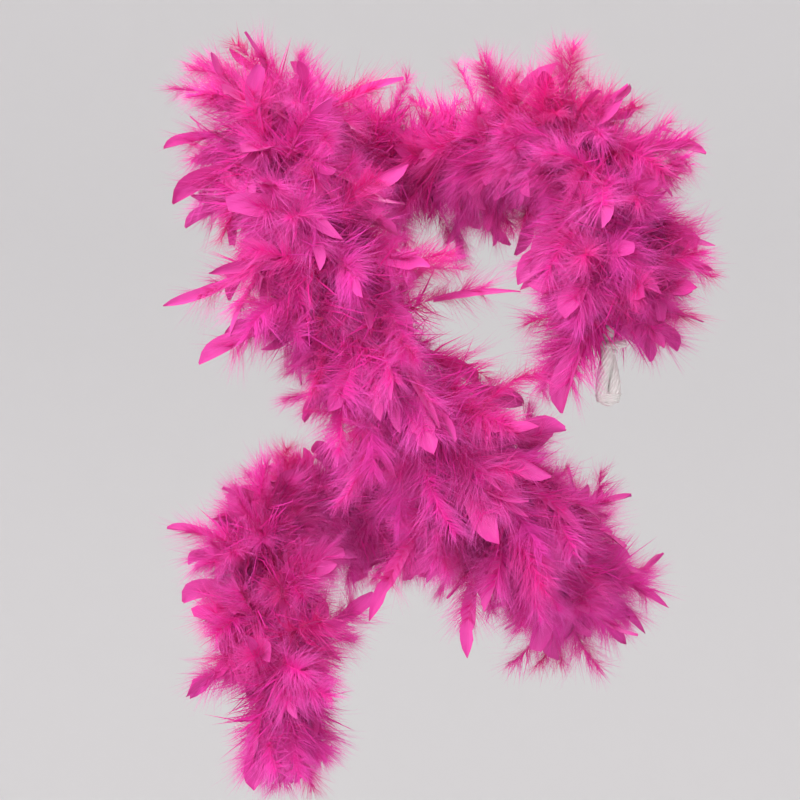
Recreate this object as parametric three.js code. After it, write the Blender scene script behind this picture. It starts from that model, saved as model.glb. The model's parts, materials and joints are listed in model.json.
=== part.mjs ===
// Feather boa, draped as it is worn. Its front tail hangs over one shoulder, the boa passes behind the
// neck, comes over the other shoulder, crosses the chest, goes round the hip and behind the waist, and
// ends in a second tail at the other hip. Millimetres, +Z up, +X to the wearer's left, -Y to the front.
// The origin is the middle of the wearer's neck, which holds the boa up.
import * as THREE from 'three';

// ---------------------------------------------------------------- driving dimensions, mm
const CORD_DIAMETER = 8; // the cotton cord that carries every feather
const CORD_SIDES = 10;
const GAP = 0.3; // between two solids that touch on the real boa
const TUFT_CLEARANCE = 1; // between the cord and the thread that binds a tuft to it

const DOWN_REACH = 76; // cord centre to the tips of the downy feathers
const VANE_REACH = 98; // cord centre to the tips of the long flat feathers
const PRESSED_SHARE = 0.62; // of a feather's reach, where the wearer's body presses it
const FEATHER_WIDTH = 17;
const FEATHER_ROOT_WIDTH = 3.4;
const FEATHERS_PER_TUFT = 8;
const TUFT_LEAN = 0.24; // how far a feather leans to the free end, per mm of its reach
const TUFT_BINDING = 3; // wall of the thread binding round the cord
const TUFT_THICKNESS = 7; // along the cord, at the binding
const TIP_THICKNESS = 1.4;
const TUFT_SPACE = 5; // kept free between the feathers of two tufts
const TUFT_TURN = 0.7; // radians, from one tuft to the next
const REACH_VARIATION = 5; // of the downy feathers, either way
const BELLY_SHARE = 0.62; // of a feather's reach past the binding, where it is widest
const SHORTEST_FEATHER = 6; // past the binding, in the tightest bend
const REACH_STEP = 2; // between the places tried along a feather
const SEARCH_RADIUS = 2.2 * VANE_REACH; // tufts farther apart than this never meet

const DRAPE_TUFTS = 39; // from one tail to the other
const FRONT_TAIL_TUFTS = 4;
const HIP_TAIL_TUFTS = 3;
const FRONT_TAIL_LENGTH = 138; // knot to the place where the tail swings
const HIP_TAIL_LENGTH = 118;
const BEND_LENGTH = 42; // stretch of cord that bends when a tail swings
const FIRST_TUFT_AT = 34; // from the knot at each end

const KNOT_RADIUS = 9;
const KNOT_SIDES = 14;
const KNOT_RINGS = 8;
const LOOP_CORD = 11; // the end loops are wound of several strands
const LOOP_WIDTH = 25; // outside
const LOOP_LENGTH = 49; // below the knot
const LOOP_BOTTOM_SPANS = 6; // straight spans in the half turn at the bottom
const LOOP_STEPS = 22;
const STUB_DIAMETER = 8;
const FRONT_STUB_LENGTH = 8;
const REAR_STUB_LENGTH = 32;
const WHIPPING_LENGTH = 9; // thread wound round the cord above a knot
const WHIPPING_WALL = 1.4;
const WHIPPING_SPACE = 1; // from the knot to the whipping

// ---------------------------------------------------------------- the route of the cord
// From the front knot to the rear knot, chosen by hand.
const ROUTE = [
  [190, -145, -232],
  [190, -145, -188],
  [190, -145, -144],
  [189, -143, -106],
  [182, -128, -70],
  [166, -92, -47],
  [142, -44, -37],
  [114, 12, -34],
  [78, 62, -36],
  [30, 90, -40],
  [-22, 88, -38],
  [-66, 60, -28],
  [-96, 14, -18],
  [-111, -40, -18],
  [-112, -88, -34],
  [-104, -124, -68],
  [-89, -142, -114],
  [-69, -150, -166],
  [-44, -153, -212],
  [-11, -152, -258],
  [26, -149, -302],
  [65, -141, -346],
  [104, -121, -389],
  [137, -88, -425],
  [154, -46, -446],
  [156, 16, -436],
  [132, 80, -414],
  [84, 126, -396],
  [20, 140, -386],
  [-44, 126, -384],
  [-94, 86, -390],
  [-121, 34, -401],
  [-130, -18, -420],
  [-125, -56, -447],
  [-116, -73, -480],
  [-109, -75, -514],
  [-108, -74, -548],
  [-113, -74, -584],
];
const POINTS = ROUTE.map(([x, y, z]) => new THREE.Vector3(x, y, z));
const CURVE = new THREE.CatmullRomCurve3(POINTS, false, 'centripetal');
CURVE.arcLengthDivisions = 4000;
const CORD_LENGTH = CURVE.getLength();

// ---------------------------------------------------------------- materials
const feather = (color) => new THREE.MeshStandardMaterial({ color, roughness: 0.62, metalness: 0 });
const cotton = () => new THREE.MeshStandardMaterial({ color: 0xe9e1dc, roughness: 0.9, metalness: 0 });
const PINKS = [0xe8289a, 0xd81f8a, 0xf03fa8];

const boa = new THREE.Group();

function add(name, geometry, material) {
  const mesh = new THREE.Mesh(geometry, material);
  mesh.name = name;
  boa.add(mesh);
  return mesh;
}

// ---------------------------------------------------------------- places along the cord
const pointAt = (distance) => CURVE.getPointAt(THREE.MathUtils.clamp(distance / CORD_LENGTH, 0, 1));
const tangentAt = (distance) => CURVE.getTangentAt(THREE.MathUtils.clamp(distance / CORD_LENGTH, 0, 1));

// The stretch of the cord's centre line between two distances from the front knot.
class CordStretch extends THREE.Curve {
  constructor(from, to) {
    super();
    this.from = from;
    this.to = to;
  }

  getPoint(share) {
    return pointAt(THREE.MathUtils.lerp(this.from, this.to, share));
  }
}

// A solid round rod along a path.
function tube(path, steps, diameter) {
  const section = new THREE.Shape();
  for (let k = 0; k < CORD_SIDES; k++) {
    const turn = (2 * Math.PI * k) / CORD_SIDES;
    const corner = [(diameter / 2) * Math.cos(turn), (diameter / 2) * Math.sin(turn)];
    if (k === 0) section.moveTo(...corner);
    else section.lineTo(...corner);
  }
  return new THREE.ExtrudeGeometry(section, { steps, extrudePath: path, curveSegments: 1 });
}

// ---------------------------------------------------------------- where the tufts sit
// A tuft leans to the nearer free end of the boa.
const HIP_BEND_AT = CORD_LENGTH - HIP_TAIL_LENGTH;

function tuftPlaces(from, to, count) {
  const places = [];
  for (let i = 0; i < count; i++) {
    places.push(from + ((to - from) * i) / (count - 1));
  }
  return places;
}

const halfBend = BEND_LENGTH / 2;
const tuftDistances = [
  ...tuftPlaces(FIRST_TUFT_AT, FRONT_TAIL_LENGTH - halfBend, FRONT_TAIL_TUFTS),
  ...tuftPlaces(FRONT_TAIL_LENGTH + halfBend, HIP_BEND_AT - halfBend, DRAPE_TUFTS),
  ...tuftPlaces(HIP_BEND_AT + halfBend, CORD_LENGTH - FIRST_TUFT_AT, HIP_TAIL_TUFTS),
];

// Each tuft's own frame: the cord's direction, and two directions across it that turn as little as
// possible from one tuft to the next.
let across = new THREE.Vector3(1, 0, 0);
const tufts = tuftDistances.map((distance, index) => {
  const centre = pointAt(distance);
  const lean = distance < CORD_LENGTH / 2 ? -1 : 1;
  const along = tangentAt(distance).multiplyScalar(lean);
  across = across.clone().addScaledVector(along, -across.dot(along)).normalize();
  const side = new THREE.Vector3().crossVectors(along, across);
  return { index, centre, along, across, side };
});

// ---------------------------------------------------------------- one tuft
const HUB_RADIUS = CORD_DIAMETER / 2 + TUFT_CLEARANCE + TUFT_BINDING;
const leanOf = (radius) => TUFT_LEAN * (radius - HUB_RADIUS);

// How far a feather can reach before it meets the feathers of a neighbouring tuft. In a bend the
// feathers on the inner side are pressed short.
function freeReach(tuft, direction, wanted) {
  const isNear = (other) => other !== tuft && other.centre.distanceTo(tuft.centre) < SEARCH_RADIUS;
  const near = tufts.filter(isNear);
  for (let reach = HUB_RADIUS; reach < wanted; reach += REACH_STEP) {
    const tip = tuft.centre.clone()
      .addScaledVector(direction, reach)
      .addScaledVector(tuft.along, leanOf(reach));
    for (const other of near) {
      const offset = tip.clone().sub(other.centre);
      const height = offset.dot(other.along);
      const radius = offset.clone().addScaledVector(other.along, -height).length();
      const before = tuft.centre.clone().sub(other.centre).dot(other.along) < 0;
      const above = height - leanOf(Math.max(radius, HUB_RADIUS));
      const free = before ? -above : above;
      if (radius < VANE_REACH && free < TUFT_SPACE) {
        return Math.max(reach - REACH_STEP, HUB_RADIUS + SHORTEST_FEATHER);
      }
    }
  }
  return wanted;
}

// How far a feather reaches where nothing is beside it: every third is long, and those that point at
// the wearer, whose middle is the vertical line through the origin, are pressed short.
function restingReach(tuft, direction, number) {
  const isLong = (number + tuft.index) % 3 === 0;
  const downy = DOWN_REACH + REACH_VARIATION * Math.sin(2.4 * number + tuft.index);
  const full = isLong ? VANE_REACH : downy;
  const toWearer = new THREE.Vector3(-tuft.centre.x, -tuft.centre.y, 0).normalize();
  return full * THREE.MathUtils.lerp(1, PRESSED_SHARE, Math.max(0, direction.dot(toWearer)));
}

// A ring of flat feathers bound to the cord, as one closed body.
function tuftSolid(tuft) {
  const outline = new THREE.Shape();
  const half = FEATHER_WIDTH / 2;
  const root = FEATHER_ROOT_WIDTH / 2;
  const turnOfTuft = tuft.index * TUFT_TURN;
  for (let k = 0; k < FEATHERS_PER_TUFT; k++) {
    const turn = turnOfTuft + (2 * Math.PI * k) / FEATHERS_PER_TUFT;
    const [c, s] = [Math.cos(turn), Math.sin(turn)];
    const direction = tuft.across.clone().multiplyScalar(c).addScaledVector(tuft.side, s);
    const reach = freeReach(tuft, direction, restingReach(tuft, direction, k));
    const wide = Math.min(half, (reach - HUB_RADIUS) / 2);
    const belly = HUB_RADIUS + BELLY_SHARE * (reach - HUB_RADIUS);
    const blade = [
      [HUB_RADIUS, -root],
      [belly, -wide],
      [reach, 0],
      [belly, wide],
      [HUB_RADIUS, root],
    ];
    blade.forEach(([u, v], corner) => {
      const place = [u * c - v * s, u * s + v * c];
      if (k === 0 && corner === 0) outline.moveTo(...place);
      else outline.lineTo(...place);
    });
  }
  const hole = new THREE.Path();
  const holeRadius = (CORD_DIAMETER / 2 + TUFT_CLEARANCE) / Math.cos(Math.PI / CORD_SIDES);
  hole.absarc(0, 0, holeRadius, 0, 2 * Math.PI, true);
  outline.holes.push(hole);
  const flat = { depth: 1, bevelEnabled: false, curveSegments: CORD_SIDES / 2 };
  const solid = new THREE.ExtrudeGeometry(outline, flat);
  const place = solid.getAttribute('position');
  for (let i = 0; i < place.count; i++) {
    const radius = Math.hypot(place.getX(i), place.getY(i));
    const outward = THREE.MathUtils.clamp((radius - HUB_RADIUS) / (DOWN_REACH - HUB_RADIUS), 0, 1);
    const thickness = THREE.MathUtils.lerp(TUFT_THICKNESS, TIP_THICKNESS, Math.sqrt(outward));
    place.setZ(i, leanOf(Math.max(radius, HUB_RADIUS)) + (place.getZ(i) - 0.5) * thickness);
  }
  const frame = new THREE.Matrix4().makeBasis(tuft.across, tuft.side, tuft.along);
  return solid.applyMatrix4(frame.setPosition(tuft.centre));
}

tufts.forEach((tuft) => {
  const number = String(tuft.index + 1).padStart(2, '0');
  add(`feather_tuft_${number}`, tuftSolid(tuft), feather(PINKS[tuft.index % PINKS.length]));
});

// ---------------------------------------------------------------- the cord
const endOfCord = KNOT_RADIUS + GAP;
// The drape's solid has a ring at every tuft, and one between, so that each tuft is centred on it.
const stretches = [
  ['core_front_tail', endOfCord, FRONT_TAIL_LENGTH - halfBend, 6],
  ['core_shoulder_bend', FRONT_TAIL_LENGTH - halfBend, FRONT_TAIL_LENGTH + halfBend, 4],
  ['core_drape', FRONT_TAIL_LENGTH + halfBend, HIP_BEND_AT - halfBend, 2 * (DRAPE_TUFTS - 1)],
  ['core_hip_bend', HIP_BEND_AT - halfBend, HIP_BEND_AT + halfBend, 4],
  ['core_hip_tail', HIP_BEND_AT + halfBend, CORD_LENGTH - endOfCord, 6],
];
stretches.forEach(([name, from, to, steps]) => {
  const path = new CordStretch(from + GAP / 2, to - GAP / 2);
  add(name, tube(path, steps, CORD_DIAMETER), cotton());
});

// ---------------------------------------------------------------- the ends
// A knot, the loop that hangs from it, the cut end of the cord, and the whipping above it.
function knotSolid() {
  const profile = [];
  for (let i = 0; i <= KNOT_RINGS; i++) {
    const turn = -Math.PI / 2 + (Math.PI * i) / KNOT_RINGS;
    const onAxis = i === 0 || i === KNOT_RINGS;
    const radius = onAxis ? 0 : KNOT_RADIUS * Math.cos(turn);
    profile.push(new THREE.Vector2(radius, KNOT_RADIUS * Math.sin(turn)));
  }
  return new THREE.LatheGeometry(profile, KNOT_SIDES).rotateX(Math.PI / 2);
}

function loopSolid() {
  const leg = (LOOP_WIDTH - LOOP_CORD) / 2;
  const top = -(KNOT_RADIUS + GAP);
  const bottom = top - LOOP_LENGTH + LOOP_CORD / 2 + leg;
  const path = new THREE.CurvePath();
  path.add(new THREE.LineCurve3(new THREE.Vector3(-leg, 0, top), new THREE.Vector3(-leg, 0, bottom)));
  for (let i = 0; i < LOOP_BOTTOM_SPANS; i++) {
    const [a, b] = [i, i + 1].map((n) => Math.PI + (Math.PI * n) / LOOP_BOTTOM_SPANS);
    path.add(new THREE.LineCurve3(
      new THREE.Vector3(leg * Math.cos(a), 0, bottom + leg * Math.sin(a)),
      new THREE.Vector3(leg * Math.cos(b), 0, bottom + leg * Math.sin(b)),
    ));
  }
  path.add(new THREE.LineCurve3(new THREE.Vector3(leg, 0, bottom), new THREE.Vector3(leg, 0, top)));
  const corners = path.getPoints(1).map((point) => point.clone());
  return tube(new THREE.CatmullRomCurve3(corners, false, 'chordal'), LOOP_STEPS, LOOP_CORD);
}

function stubSolid(direction, length) {
  const away = new THREE.Vector3(...direction).normalize();
  const start = away.clone().multiplyScalar(KNOT_RADIUS + GAP);
  const end = away.clone().multiplyScalar(KNOT_RADIUS + GAP + length);
  return tube(new THREE.LineCurve3(start, end), 1, STUB_DIAMETER);
}

function whippingSolid(from, to) {
  const inner = CORD_DIAMETER / 2 + GAP;
  const outer = inner + WHIPPING_WALL;
  const half = WHIPPING_LENGTH / 2;
  const profile = [[inner, -half], [outer, -half], [outer, half], [inner, half], [inner, -half]];
  const ring = new THREE.LatheGeometry(profile.map(([r, h]) => new THREE.Vector2(r, h)), KNOT_SIDES);
  const middle = from.clone().add(to).multiplyScalar(0.5);
  const turn = new THREE.Quaternion().setFromUnitVectors(
    new THREE.Vector3(0, 1, 0),
    to.clone().sub(from).normalize(),
  );
  return ring.applyQuaternion(turn).translate(middle.x, middle.y, middle.z);
}

const whippingAt = KNOT_RADIUS + WHIPPING_SPACE + GAP;
const ends = [
  {
    name: 'front',
    knot: pointAt(0),
    stub: [[0.94, 0, 0.34], FRONT_STUB_LENGTH],
    whipping: [pointAt(whippingAt), pointAt(whippingAt + WHIPPING_LENGTH)],
  },
  {
    name: 'rear',
    knot: pointAt(CORD_LENGTH),
    stub: [[-0.99, 0, 0.06], REAR_STUB_LENGTH],
    whipping: [pointAt(CORD_LENGTH - whippingAt - WHIPPING_LENGTH), pointAt(CORD_LENGTH - whippingAt)],
  },
];
ends.forEach(({ name, knot, stub, whipping }) => {
  const toKnot = ({ x, y, z }, solid) => solid.translate(x, y, z);
  add(`${name}_knot`, toKnot(knot, knotSolid()), cotton());
  add(`${name}_loop`, toKnot(knot, loopSolid()), cotton());
  add(`${name}_cut_end`, toKnot(knot, stubSolid(...stub)), cotton());
  add(`${name}_whipping`, whippingSolid(...whipping), cotton());
});

export default boa;
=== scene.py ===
# %% [markdown]
# # A feather boa
# The boa is a limp cotton cord with about a thousand dyed feathers tied to it and a loop at each end.
# It is shown as it hangs on a wearer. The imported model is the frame: it gives the place of every tuft
# of feathers, knot and loop, and the pieces made here take their places from it.

# %% Load the frame
import json
import math

import bpy
import numpy as np
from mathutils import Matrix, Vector


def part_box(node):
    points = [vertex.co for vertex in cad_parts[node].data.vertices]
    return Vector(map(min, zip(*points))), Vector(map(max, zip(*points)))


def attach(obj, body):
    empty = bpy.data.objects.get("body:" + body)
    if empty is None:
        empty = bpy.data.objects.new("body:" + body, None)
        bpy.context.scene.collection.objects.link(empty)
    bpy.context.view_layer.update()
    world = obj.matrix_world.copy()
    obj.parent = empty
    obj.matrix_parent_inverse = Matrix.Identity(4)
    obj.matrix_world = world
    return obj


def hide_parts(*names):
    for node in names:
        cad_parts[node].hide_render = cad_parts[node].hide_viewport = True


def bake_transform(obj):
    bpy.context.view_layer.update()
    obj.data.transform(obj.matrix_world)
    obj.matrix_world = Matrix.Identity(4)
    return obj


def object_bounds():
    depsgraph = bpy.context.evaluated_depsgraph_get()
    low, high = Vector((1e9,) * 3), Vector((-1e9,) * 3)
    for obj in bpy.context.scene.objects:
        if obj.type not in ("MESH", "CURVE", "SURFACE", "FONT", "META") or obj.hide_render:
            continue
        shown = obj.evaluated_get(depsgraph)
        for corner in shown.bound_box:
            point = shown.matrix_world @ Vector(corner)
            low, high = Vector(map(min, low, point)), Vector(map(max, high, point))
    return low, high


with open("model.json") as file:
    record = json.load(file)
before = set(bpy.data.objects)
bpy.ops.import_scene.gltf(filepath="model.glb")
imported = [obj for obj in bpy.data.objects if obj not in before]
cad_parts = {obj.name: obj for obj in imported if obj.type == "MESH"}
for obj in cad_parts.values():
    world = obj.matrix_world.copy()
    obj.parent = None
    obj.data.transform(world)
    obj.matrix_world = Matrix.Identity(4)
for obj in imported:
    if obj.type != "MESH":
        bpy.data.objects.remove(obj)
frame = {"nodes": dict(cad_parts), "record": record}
CAD_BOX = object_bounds()
bpy.ops.object.select_all(action="DESELECT")
print("frame box", CAD_BOX)

# %% [markdown]
# ## Floor, light and camera
# A boa is soft and has no hard edges, so its form shows only in broad, soft light. A large key light
# stands high on one side, a weaker one fills in from the front, and a third, above and behind, lifts
# the down at the outline. The floor is round and sweeps up into a pale wall on every side.

# %% The round floor and the wall about it
FLOOR_Z = -1.4
STUDIO_RADIUS, STUDIO_HEIGHT = 5.0, 4.2
SWEEP_RADIUS, SWEEP_SEGMENTS = 1.6, 16
bpy.ops.mesh.primitive_cylinder_add(
    vertices=128,
    radius=STUDIO_RADIUS,
    depth=STUDIO_HEIGHT,
    location=(0, 0, FLOOR_Z + STUDIO_HEIGHT / 2),
)
floor = bpy.context.object
floor.name = "studio_floor"
bpy.ops.object.mode_set(mode="EDIT")
bpy.ops.mesh.select_mode(type="FACE")
bpy.ops.mesh.select_all(action="DESELECT")
bpy.ops.object.mode_set(mode="OBJECT")
for face in floor.data.polygons:
    face.select = face.normal.z > 0.5
bpy.ops.object.mode_set(mode="EDIT")
bpy.ops.mesh.delete(type="FACE")
bpy.ops.mesh.select_all(action="SELECT")
bpy.ops.mesh.flip_normals()
bpy.ops.object.mode_set(mode="OBJECT")
sweep = floor.modifiers.new("sweep", "BEVEL")
sweep.width, sweep.segments, sweep.limit_method = SWEEP_RADIUS, SWEEP_SEGMENTS, "ANGLE"
bpy.ops.object.modifier_apply(modifier=sweep.name)
bpy.ops.object.transform_apply(location=True, rotation=False, scale=False)
bpy.ops.object.shade_smooth()

paper = bpy.data.materials.new("studio_paper")
paper.use_nodes = True
paper_shader = paper.node_tree.nodes["Principled BSDF"]
paper_shader.inputs["Base Color"].default_value = (0.70, 0.70, 0.71, 1)
paper_shader.inputs["Roughness"].default_value = 0.85
floor.data.materials.append(paper)
print("floor at", FLOOR_Z)


# %% The lights
def soft_light(name, place, aim, size, watts):
    bpy.ops.object.light_add(type="AREA", location=place)
    lamp = bpy.context.object
    lamp.name = name
    lamp.data.shape = "DISK"
    lamp.data.size = size
    lamp.data.energy = watts
    lamp.rotation_euler = (Vector(aim) - Vector(place)).to_track_quat("-Z", "Y").to_euler()


MIDDLE = (0.03, 0, -0.28)
soft_light("key", (-1.3, -1.6, 1.1), MIDDLE, 1.4, 42)
soft_light("fill", (-0.5, -2.8, 0.2), MIDDLE, 1.6, 12)
soft_light("top", (0.3, 0.9, 1.6), MIDDLE, 1.2, 26)
world = bpy.data.worlds.new("studio")
world.use_nodes = True
world.node_tree.nodes["Background"].inputs["Color"].default_value = (1.0, 0.96, 0.95, 1)
world.node_tree.nodes["Background"].inputs["Strength"].default_value = 1.08
bpy.context.scene.world = world
bpy.context.scene.view_settings.view_transform = "Standard"

# %% The camera, level with the middle of the boa and straight in front of it
CAMERA_DISTANCE = 2.5
CAMERA_HEIGHT = -0.279
CHEST_PLANE = -0.1
VIEW_WIDTH = 0.744  # of what the camera sees at the chest's plane
SENSOR_WIDTH = 36
bpy.ops.object.camera_add(
    location=(0, CHEST_PLANE - CAMERA_DISTANCE, CAMERA_HEIGHT), rotation=(math.radians(90), 0, 0)
)
camera = bpy.context.object
camera.data.sensor_width = SENSOR_WIDTH
camera.data.lens = SENSOR_WIDTH * CAMERA_DISTANCE / VIEW_WIDTH
bpy.context.scene.camera = camera
print("lens", round(camera.data.lens, 1), "mm")

# %% [markdown]
# ## The route of the cord
# The cord's centre line is the one the CAD model follows: it is written out here again in metres,
# from the front knot over the shoulder, behind the neck, over the other shoulder, across the chest,
# round the hip and behind the waist to the rear knot. One smooth curve runs through the points.

# %% The route, and its length
ROUTE = np.array([
    (0.190, -0.145, -0.232), (0.190, -0.145, -0.188), (0.190, -0.145, -0.144),
    (0.189, -0.143, -0.106), (0.182, -0.128, -0.070), (0.166, -0.092, -0.047),
    (0.142, -0.044, -0.037), (0.114, 0.012, -0.034), (0.078, 0.062, -0.036),
    (0.030, 0.090, -0.040), (-0.022, 0.088, -0.038), (-0.066, 0.060, -0.028),
    (-0.096, 0.014, -0.018), (-0.111, -0.040, -0.018), (-0.112, -0.088, -0.034),
    (-0.104, -0.124, -0.068), (-0.089, -0.142, -0.114), (-0.069, -0.150, -0.166),
    (-0.044, -0.153, -0.212), (-0.011, -0.152, -0.258), (0.026, -0.149, -0.302),
    (0.065, -0.141, -0.346), (0.104, -0.121, -0.389), (0.137, -0.088, -0.425),
    (0.154, -0.046, -0.446), (0.156, 0.016, -0.436), (0.132, 0.080, -0.414),
    (0.084, 0.126, -0.396), (0.020, 0.140, -0.386), (-0.044, 0.126, -0.384),
    (-0.094, 0.086, -0.390), (-0.121, 0.034, -0.401), (-0.130, -0.018, -0.420),
    (-0.125, -0.056, -0.447), (-0.116, -0.073, -0.480), (-0.109, -0.075, -0.514),
    (-0.108, -0.074, -0.548), (-0.113, -0.074, -0.584),
])  # fmt: skip


def smooth_line(points, per_span=40):
    """A centripetal Catmull-Rom curve through the points, as a fine polyline."""
    ends = [2 * points[0] - points[1], *points, 2 * points[-1] - points[-2]]
    line = []
    for a, b, c, d in zip(ends, ends[1:], ends[2:], ends[3:]):
        t0, t1 = 0.0, math.sqrt(np.linalg.norm(b - a))
        t2 = t1 + math.sqrt(np.linalg.norm(c - b))
        t3 = t2 + math.sqrt(np.linalg.norm(d - c))
        t = np.linspace(t1, t2, per_span, endpoint=False)[:, None]
        ab = (t1 - t) / (t1 - t0) * a + (t - t0) / (t1 - t0) * b
        bc = (t2 - t) / (t2 - t1) * b + (t - t1) / (t2 - t1) * c
        cd = (t3 - t) / (t3 - t2) * c + (t - t2) / (t3 - t2) * d
        abc = (t2 - t) / (t2 - t0) * ab + (t - t0) / (t2 - t0) * bc
        bcd = (t3 - t) / (t3 - t1) * bc + (t - t1) / (t3 - t1) * cd
        line.extend((t2 - t) / (t2 - t1) * abc + (t - t1) / (t2 - t1) * bcd)
    return np.array([*line, points[-1]])


def unit(v):
    """The vector, or each row of vectors, at a length of one."""
    return v / np.maximum(np.linalg.norm(v, axis=-1, keepdims=True), 1e-9)


def run_of(line):
    """The distance along a polyline at each of its points."""
    return np.concatenate([[0], np.cumsum(np.linalg.norm(np.diff(line, axis=0), axis=1))])


def carried_frame(line):
    """The direction along a polyline at each point, and two across it that turn as little as possible."""
    along = unit(np.gradient(line, axis=0))
    across = np.zeros_like(line)
    last = unit(np.cross(along[0], (0.31, 0.9, 0.2)))
    for i, way in enumerate(along):
        last = unit(last - way * (last @ way))
        across[i] = last
    return along, across, np.cross(along, across)


DOWN = np.array((0, 0, -1.0))
LINE = smooth_line(ROUTE)
RUN = run_of(LINE)
LENGTH = RUN[-1]
ALONG, ACROSS, SIDE = carried_frame(LINE)
print("cord length", round(LENGTH, 4), "m")


def on_route(distance, table):
    """The value of a table along the route at these distances from the front knot."""
    return np.stack([np.interp(distance, RUN, table[:, k]) for k in range(3)], axis=-1)


# %% [markdown]
# The boa has no hinge. A tail swings because the limp cord bends over a few centimetres, so each bend is
# a stretch of the route: it is found as the point nearest to the joint of the frame, with the same
# length on both sides.

# %% Where the boa bends when a tail swings
JOINTS = {joint["name"]: joint for joint in frame["record"]["behaviour"]["joints"]}


def nearest_run(place):
    """The distance along the cord of its nearest point to a place."""
    return RUN[np.argmin(np.linalg.norm(LINE - np.array(place), axis=1))]


SHOULDER_BEND = nearest_run(JOINTS["front_tail_swing"]["pos_m"])
HIP_BEND = nearest_run(JOINTS["hip_tail_swing"]["pos_m"])
HALF_BEND = 0.030
print("bends at", round(SHOULDER_BEND, 3), "and", round(HIP_BEND, 3), "m along the cord")


# %% [markdown]
# ## Making meshes from arrays
# Hundreds of thousands of feather barbs can't be drawn by hand, so the down, the quills and the
# yarns are computed as arrays of points and handed to Blender in one step. Each mesh brings one UV
# map: U says how far along a barb, vane or yarn a point lies and V which tone of dye it has, so that
# the colour, dye with painted shade at the root and a painted highlight at the tip, follows every strand.

# %% A mesh from points, faces and a map
def mesh_piece(name, points, faces, places, materials, slots=None):
    """faces is a list of (array of corner numbers) blocks, places the map's point at each corner."""
    mesh = bpy.data.meshes.new(name)
    loops = np.concatenate([block.ravel() for block in faces])
    sizes = np.concatenate([np.full(len(block), block.shape[1]) for block in faces])
    starts = np.concatenate([[0], np.cumsum(sizes)[:-1]])
    mesh.vertices.add(len(points))
    mesh.vertices.foreach_set("co", np.ascontiguousarray(points, dtype=np.float32).ravel())
    mesh.loops.add(len(loops))
    mesh.loops.foreach_set("vertex_index", loops.astype(np.int32))
    mesh.polygons.add(len(sizes))
    mesh.polygons.foreach_set("loop_start", starts.astype(np.int32))
    mesh.polygons.foreach_set("loop_total", sizes.astype(np.int32))
    if slots is not None:
        mesh.polygons.foreach_set("material_index", slots.astype(np.int32))
    mesh.polygons.foreach_set("use_smooth", np.full(len(sizes), True))
    layer = mesh.uv_layers.new(name="OFBake")
    layer.data.foreach_set("uv", np.ascontiguousarray(places[loops], dtype=np.float32).ravel())
    mesh.update()
    mesh.validate()
    piece = bpy.data.objects.new(name, mesh)
    bpy.context.scene.collection.objects.link(piece)
    for material in materials:
        mesh.materials.append(material)
    return piece


YARN_MAP_LENGTH = 0.25


def tube_arrays(line, radius, sides):
    """Points, faces and map of a round yarn along a polyline. The map runs to and fro along it."""
    line = np.asarray(line)
    _, across, side = carried_frame(line)
    turn = 2 * math.pi * np.arange(sides) / sides
    run = run_of(line)
    ring = across[:, None] * np.cos(turn)[None, :, None] + side[:, None] * np.sin(turn)[None, :, None]
    points = (line[:, None] + ring * radius).reshape(-1, 3)
    n = len(line)
    a = (np.arange(n - 1)[:, None] * sides + np.arange(sides)[None, :]).ravel()
    b = (np.arange(n - 1)[:, None] * sides + (np.arange(sides)[None, :] + 1) % sides).ravel()
    quads = np.stack([a, b, b + sides, a + sides], axis=1)
    to_and_fro = np.abs((run / YARN_MAP_LENGTH + 1) % 2 - 1)
    around = np.abs(2 * np.arange(sides) / sides - 1)
    places = np.stack([np.repeat(to_and_fro, sides), np.tile(around, n)], axis=1)
    ends = [np.arange(sides)[None, ::-1], (np.arange(sides) + (n - 1) * sides)[None, :]]
    return points, [quads, *ends], places


def joined(parts):
    """Several (points, faces, map) sets as one."""
    points, faces, places, start = [], [], [], 0
    for part_points, part_faces, part_places in parts:
        points.append(part_points)
        places.append(part_places)
        faces.extend(block + start for block in part_faces)
        start += len(part_points)
    return np.concatenate(points), faces, np.concatenate(places)


# %% [markdown]
# ## Dye, painted shade and highlight, and cotton
# Dyed down is never one pink, and each feather took the dye a little differently. Along each barb the
# colour runs from deep at the root to paler and cooler at the thin tip: partly the dye, and partly
# painted shade deep inside the boa and a painted highlight on its outer tips. One node group mixes these
# from the map and from a soft cloudy noise; the down, the vanes and the quills use it with their own
# values.

# %% A helper that makes a node group
COLOUR, NUMBER = "NodeSocketColor", "NodeSocketFloat"


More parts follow.
